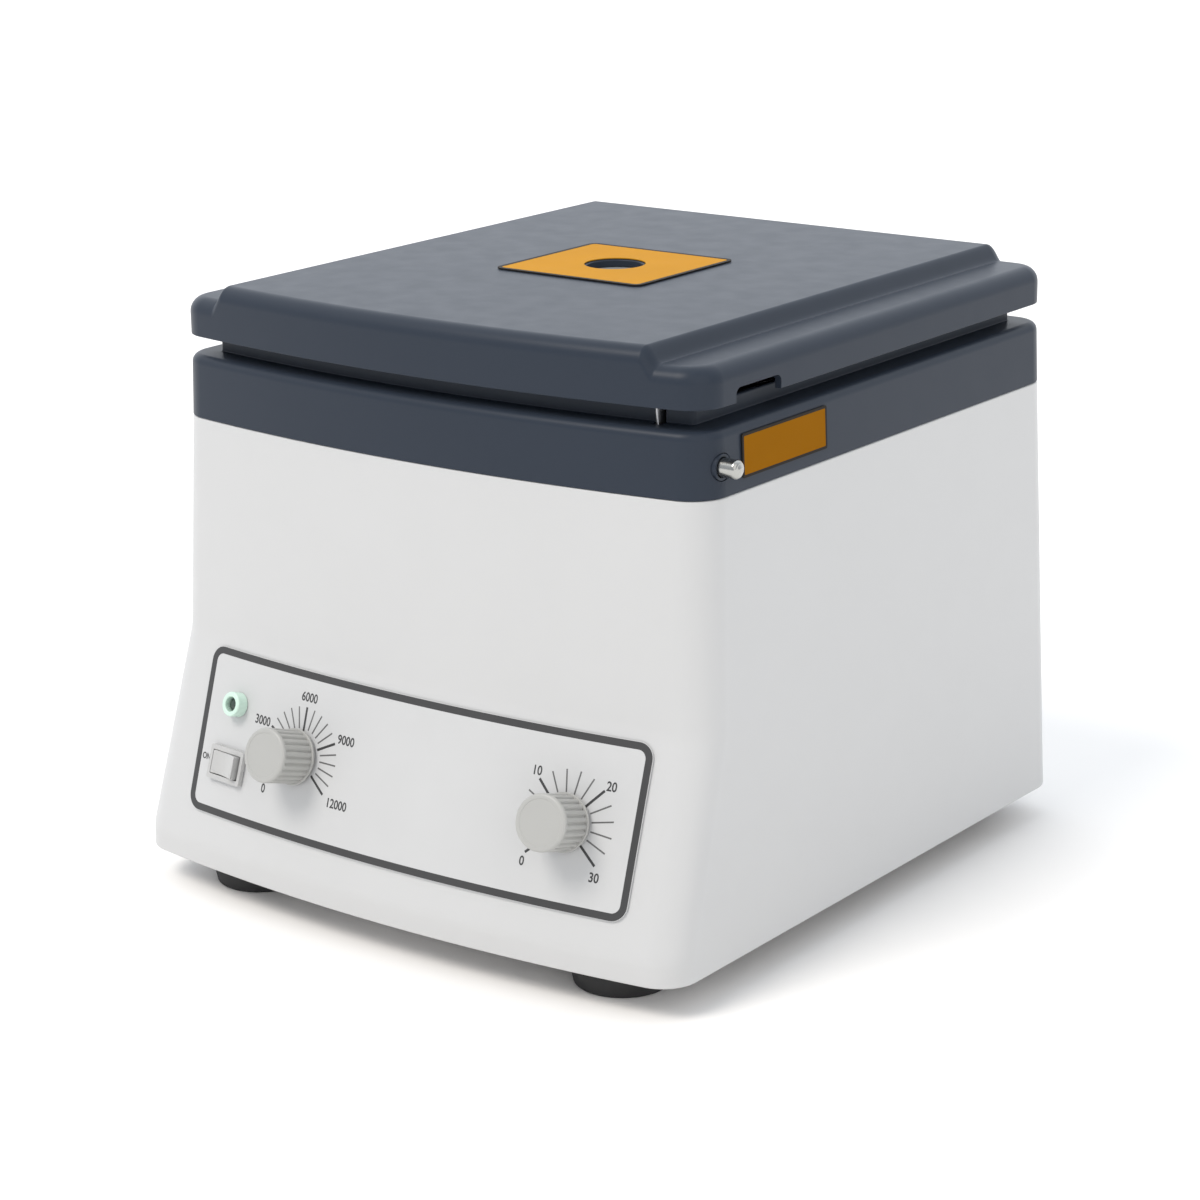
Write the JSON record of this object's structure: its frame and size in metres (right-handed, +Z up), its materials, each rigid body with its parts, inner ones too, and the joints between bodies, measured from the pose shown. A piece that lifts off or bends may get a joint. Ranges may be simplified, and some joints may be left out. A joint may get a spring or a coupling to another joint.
{
  "type": "hematocrit centrifuge",
  "caption": "Small bench centrifuge for blood capillaries: white housing with a sloped control panel, and a hinged dark lid over a slotted rotor.",
  "frame": {"origin": "on the bench under the middle of the object's box", "axes": "+X to the object's right as its user sees it, +Y from the control panel to the back, +Z up"},
  "size_m": [0.2949, 0.3278, 0.2667],
  "materials": {
    "white_plastic": "fine moulded texture",
    "dark_plastic": "satin, dark blue-grey",
    "amber_label": "plain amber film",
    "panel_film": "printed film",
    "knob_plastic": "light grey, satin",
    "black_plastic": "satin",
    "black_rubber": "matte",
    "indicator_plastic": "translucent pale green",
    "clear_plastic": "clear",
    "aluminium": "turned",
    "steel": "bright",
    "circuit_board": "lacquered"
  },
  "bodies": {
    "base": {"housing": "white_plastic", "base_plate": "steel", "foot_front_left": "black_rubber", "foot_front_right": "black_rubber", "foot_rear_left": "black_rubber", "foot_rear_right": "black_rubber", "base_screw_1": "steel", "base_screw_2": "steel", "base_screw_3": "steel", "base_screw_4": "steel", "top_cover": "dark_plastic", "chamber_bowl": "aluminium", "chamber_gasket": "black_rubber", "motor_plate": "steel", "motor_damper_1": "black_rubber", "motor_damper_2": "black_rubber", "motor_damper_3": "black_rubber", "motor_body": "steel", "control_panel": "panel_film", "power_switch_body": "knob_plastic", "indicator_bezel": "indicator_plastic", "indicator_lens": "black_plastic", "speed_potentiometer": "steel", "timer_unit": "black_plastic", "power_inlet": "black_plastic", "circuit_board": "circuit_board", "latch_bracket": "steel", "latch_pivot_pin": "steel", "release_spring": "steel", "release_pin_bush": "dark_plastic", "hinge_body_leaf_left": "dark_plastic", "hinge_body_leaf_right": "dark_plastic", "hinge_pin_left": "steel", "hinge_pin_right": "steel", "side_label": "amber_label", "mains_lead": "black_rubber", "motor_lead": "black_rubber"},
    "lid": {"lid_shell": "dark_plastic", "lid_liner": "dark_plastic", "sight_window": "clear_plastic", "lid_label": "amber_label", "latch_striker": "steel", "hinge_lid_leaf_left": "dark_plastic", "hinge_lid_leaf_right": "dark_plastic"},
    "rotor": {"motor_shaft": "steel", "rotor_disc": "aluminium", "rotor_gasket": "black_rubber", "rotor_cover": "aluminium"},
    "rotor_nut": {"rotor_nut": "black_plastic"},
    "speed_dial": {"speed_knob": "knob_plastic", "speed_shaft": "steel"},
    "timer_dial": {"timer_knob": "knob_plastic", "timer_shaft": "steel"},
    "rocker": {"power_rocker": "knob_plastic"},
    "release_button": {"release_pin": "steel"},
    "hook": {"latch_hook": "steel"},
    "fuse_carrier": {"fuse_drawer": "black_plastic", "fuse": "clear_plastic"}
  },
  "joints": [
    {"name": "lid_hinge", "type": "hinge", "parent": "base", "child": "lid", "pos_m": [0, 0.15938, 0.2383], "axis": [-1, 0, 0], "range_deg": [0, 80]},
    {"name": "rotor_spin", "type": "hinge", "parent": "base", "child": "rotor", "pos_m": [0, 0.01687, 0.2065], "axis": [0, 0, 1], "continuous": true},
    {"name": "rotor_nut_turn", "type": "hinge", "parent": "rotor", "child": "rotor_nut", "pos_m": [0, 0.01687, 0.2228], "axis": [0, 0, 1], "range_deg": [0, 720]},
    {"name": "speed_knob_turn", "type": "hinge", "parent": "base", "child": "speed_dial", "pos_m": [-0.055, -0.14038, 0.0722], "axis": [0.0607, 0.9519, -0.3004], "range_deg": [0, 260]},
    {"name": "timer_knob_turn", "type": "hinge", "parent": "base", "child": "timer_dial", "pos_m": [0.0876, -0.13769, 0.0722], "axis": [-0.0964, 0.9488, -0.3007], "range_deg": [0, 270]},
    {"name": "power_rocker_press", "type": "hinge", "parent": "base", "child": "rocker", "pos_m": [-0.09517, -0.14217, 0.06088], "axis": [0.0327, 0.2991, 0.9537], "range_deg": [0, 18]},
    {"name": "release_pin_slide", "type": "slide", "parent": "base", "child": "release_button", "axis": [-1, 0, 0], "range_m": [0, 0.004], "stiffness_N_per_m": 500, "springref_m": -0.003, "deforming": ["release_spring"]},
    {"name": "latch_hook_turn", "type": "hinge", "parent": "base", "child": "hook", "pos_m": [0.104, -0.10158, 0.2065], "axis": [0, -1, 0], "range_deg": [0, 22.8]},
    {"name": "fuse_drawer_slide", "type": "slide", "parent": "base", "child": "fuse_carrier", "axis": [0, 0.9998, 0.0203], "range_m": [0, 0.009]}
  ],
  "couplings": [
    {"joint": "latch_hook_turn", "follows": "release_pin_slide", "rad_per_m": 98}
  ]
}
